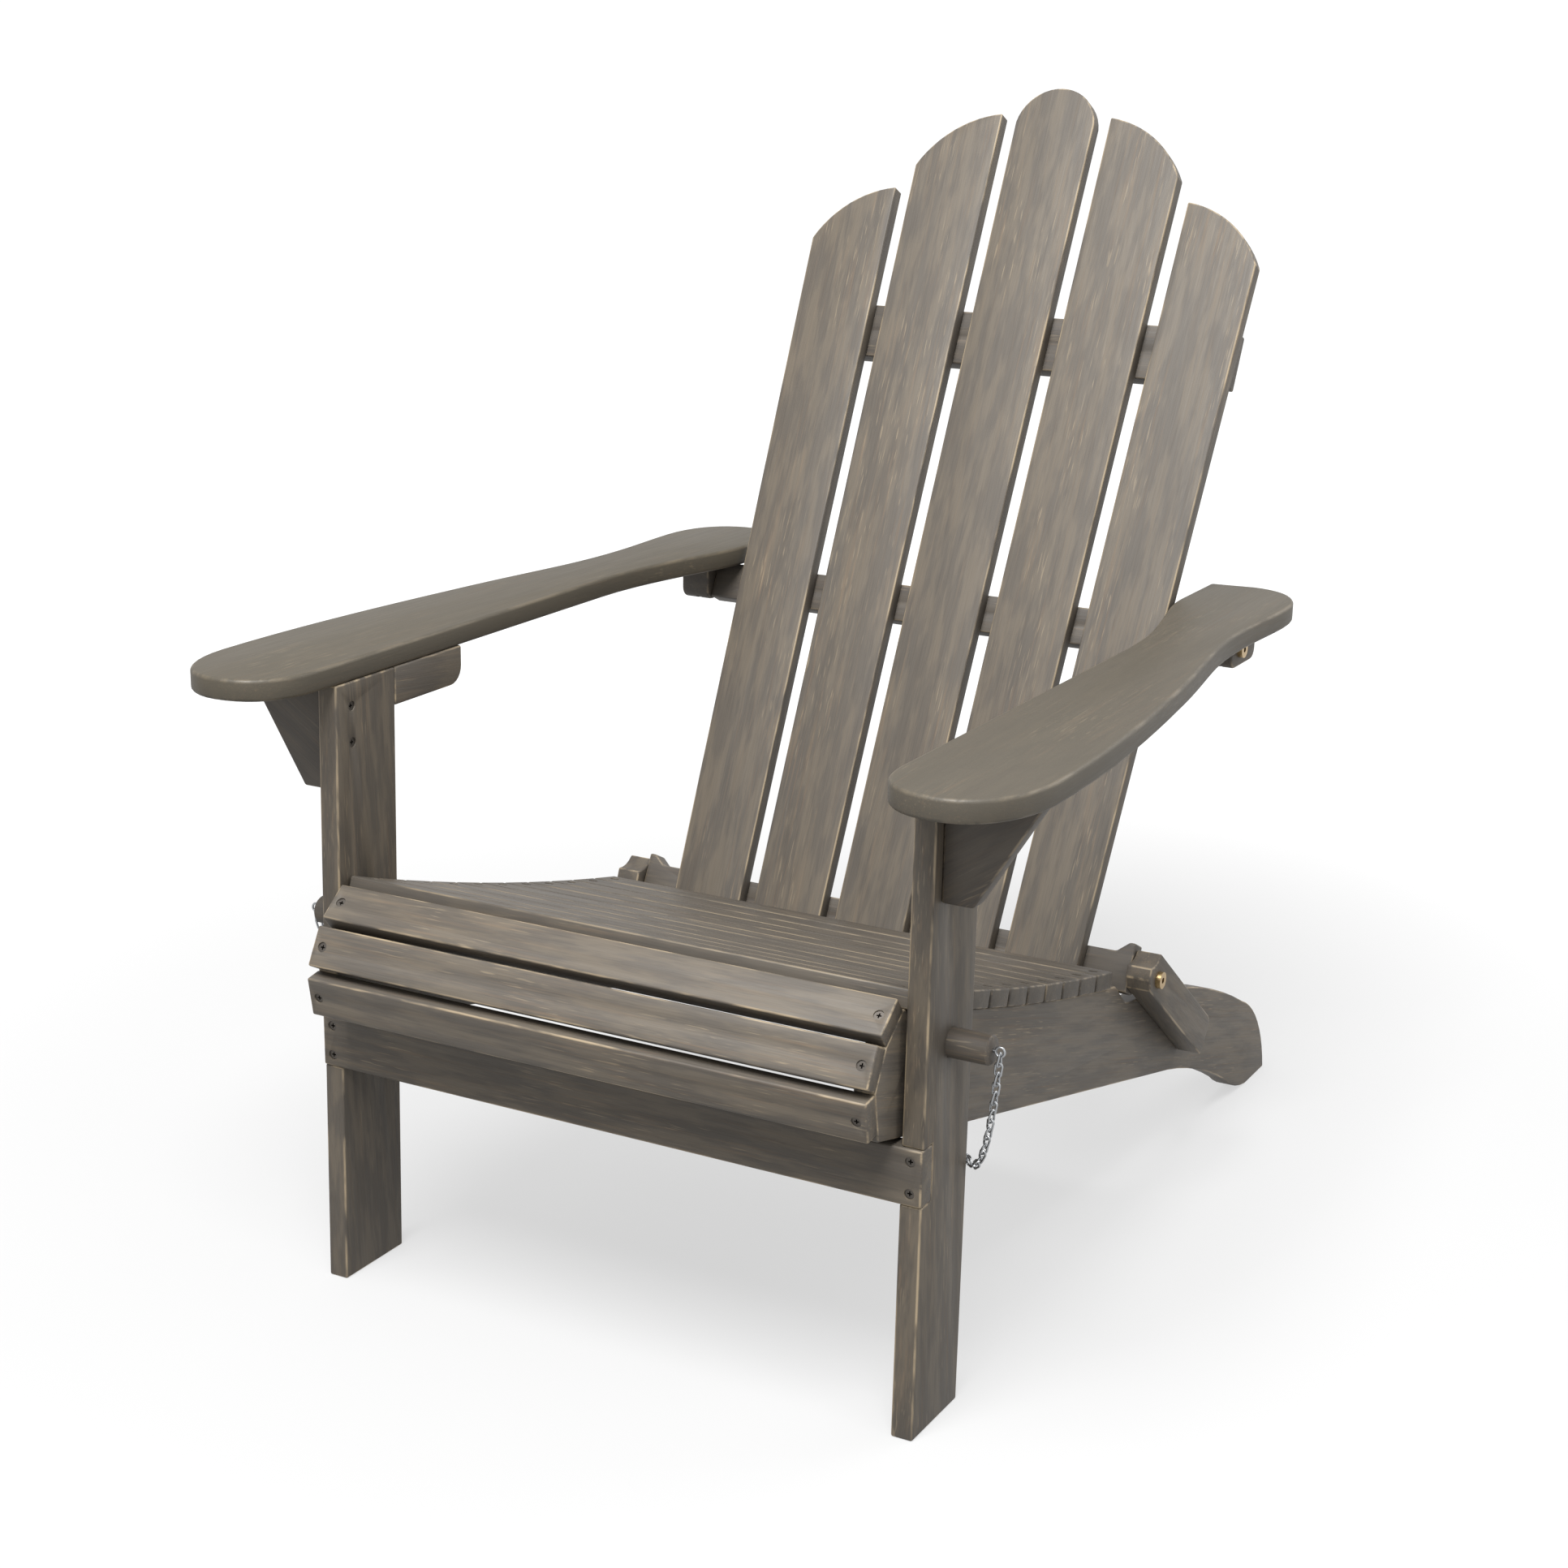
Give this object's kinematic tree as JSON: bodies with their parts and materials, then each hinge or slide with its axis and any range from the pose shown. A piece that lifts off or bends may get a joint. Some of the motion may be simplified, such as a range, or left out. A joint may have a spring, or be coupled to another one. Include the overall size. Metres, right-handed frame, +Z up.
{
  "type": "folding adirondack chair",
  "caption": "Folding slatted wooden garden chair with a leaning fan back, broad curved arms, raked seat and two dowel locking pins on chains.",
  "frame": {"origin": "on the ground at the middle of the chair's footprint box", "axes": "+Z up, the chair's front faces -Y, its right arm seen from the front is at +X"},
  "size_m": [0.7282, 0.922, 0.9553],
  "materials": {
    "stained_wood": "grey-brown stain, satin, light rubbed edges",
    "shaded_wood": "darker grey-brown stain, satin",
    "screw_steel": "dark plated steel",
    "bolt_brass": "yellow zinc plating",
    "chain_zinc": "bright zinc plating"
  },
  "bodies": {
    "seat_frame": {"stringer_left": "stained_wood", "stringer_right": "stained_wood", "seat_slat_1": "stained_wood", "seat_slat_2": "stained_wood", "seat_slat_3": "stained_wood", "seat_slat_4": "stained_wood", "seat_slat_5": "stained_wood", "seat_slat_6": "stained_wood", "seat_slat_7": "stained_wood", "seat_slat_8": "stained_wood", "seat_slat_9": "stained_wood", "seat_slat_10": "stained_wood", "seat_slat_11": "stained_wood", "apron_slat_1": "stained_wood", "apron_slat_2": "stained_wood", "apron_slat_3": "stained_wood", "link_left": "stained_wood", "link_right": "stained_wood", "seat_screws": "screw_steel", "apron_screws": "screw_steel", "link_screws": "screw_steel", "lower_pivot_bolts": "bolt_brass"},
    "backrest": {"back_slat_1": "stained_wood", "back_slat_2": "stained_wood", "back_slat_3": "stained_wood", "back_slat_4": "stained_wood", "back_slat_5": "stained_wood", "rail_lower": "shaded_wood", "rail_middle": "shaded_wood", "rail_upper": "shaded_wood", "back_screws": "screw_steel", "pivot_inserts": "bolt_brass"},
    "front_frame": {"leg_left": "stained_wood", "leg_right": "stained_wood", "stretcher": "stained_wood", "stretcher_screws": "screw_steel", "bracket_left": "shaded_wood", "bracket_right": "shaded_wood", "bracket_screws": "screw_steel", "arm_left": "stained_wood", "arm_right": "stained_wood", "front_block_left": "stained_wood", "front_block_right": "stained_wood", "rear_block_left": "shaded_wood", "rear_block_right": "shaded_wood", "arm_screws": "screw_steel", "upper_pivot_bolts": "bolt_brass", "chain_eyes": "chain_zinc", "chain_left": "chain_zinc", "chain_right": "chain_zinc"},
    "pin_left": {"pin_left": "shaded_wood", "pin_eye_left": "chain_zinc"},
    "pin_right": {"pin_right": "shaded_wood", "pin_eye_right": "chain_zinc"}
  },
  "joints": [
    {"name": "back_fold", "type": "hinge", "parent": "seat_frame", "child": "backrest", "pos_m": [0, 0.08145, 0.21805], "axis": [1, 0, 0], "range_deg": [0, 40]},
    {"name": "front_frame_swing", "type": "hinge", "parent": "backrest", "child": "front_frame", "pos_m": [0, 0.21639, 0.48752], "axis": [1, 0, 0], "range_deg": [-35, 0]},
    {"name": "pin_left_pull", "type": "slide", "parent": "front_frame", "child": "pin_left", "axis": [-1, 0, 0], "range_m": [0, 0.045], "deforming": ["chain_left"]},
    {"name": "pin_right_pull", "type": "slide", "parent": "front_frame", "child": "pin_right", "axis": [1, 0, 0], "range_m": [0, 0.045], "deforming": ["chain_right"]}
  ],
  "couplings": [
    {"joint": "front_frame_swing", "follows": "back_fold", "ratio": -0.85}
  ]
}
